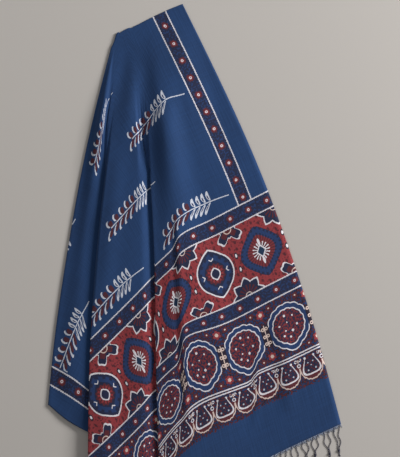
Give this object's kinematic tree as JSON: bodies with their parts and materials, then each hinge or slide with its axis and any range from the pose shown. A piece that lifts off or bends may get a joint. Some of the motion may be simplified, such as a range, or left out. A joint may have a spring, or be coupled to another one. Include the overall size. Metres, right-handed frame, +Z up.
{
  "type": "ajrakh cloth",
  "caption": "Block-printed indigo cloth with knotted fringe at its ends, folded over once and laid flat in soft pleats.",
  "frame": {"origin": "middle of the footprint, on the surface that the cloth lies on", "axes": "+Z up from the surface, +Y along the cloth from its fringed end to the shoulder fold, +X from the folded left side to the open right selvedge"},
  "size_m": [0.6255, 1.3818, 0.0348],
  "materials": {
    "cloth": "block-printed cotton, matte with a faint sheen",
    "fringe": "twisted dyed yarn, matte"
  },
  "bodies": {
    "root": {"cloth": "cloth", "front_fringe_right": "fringe", "front_fringe_left": "fringe", "back_fringe_right": "fringe", "back_fringe_left": "fringe"}
  },
  "joints": []
}
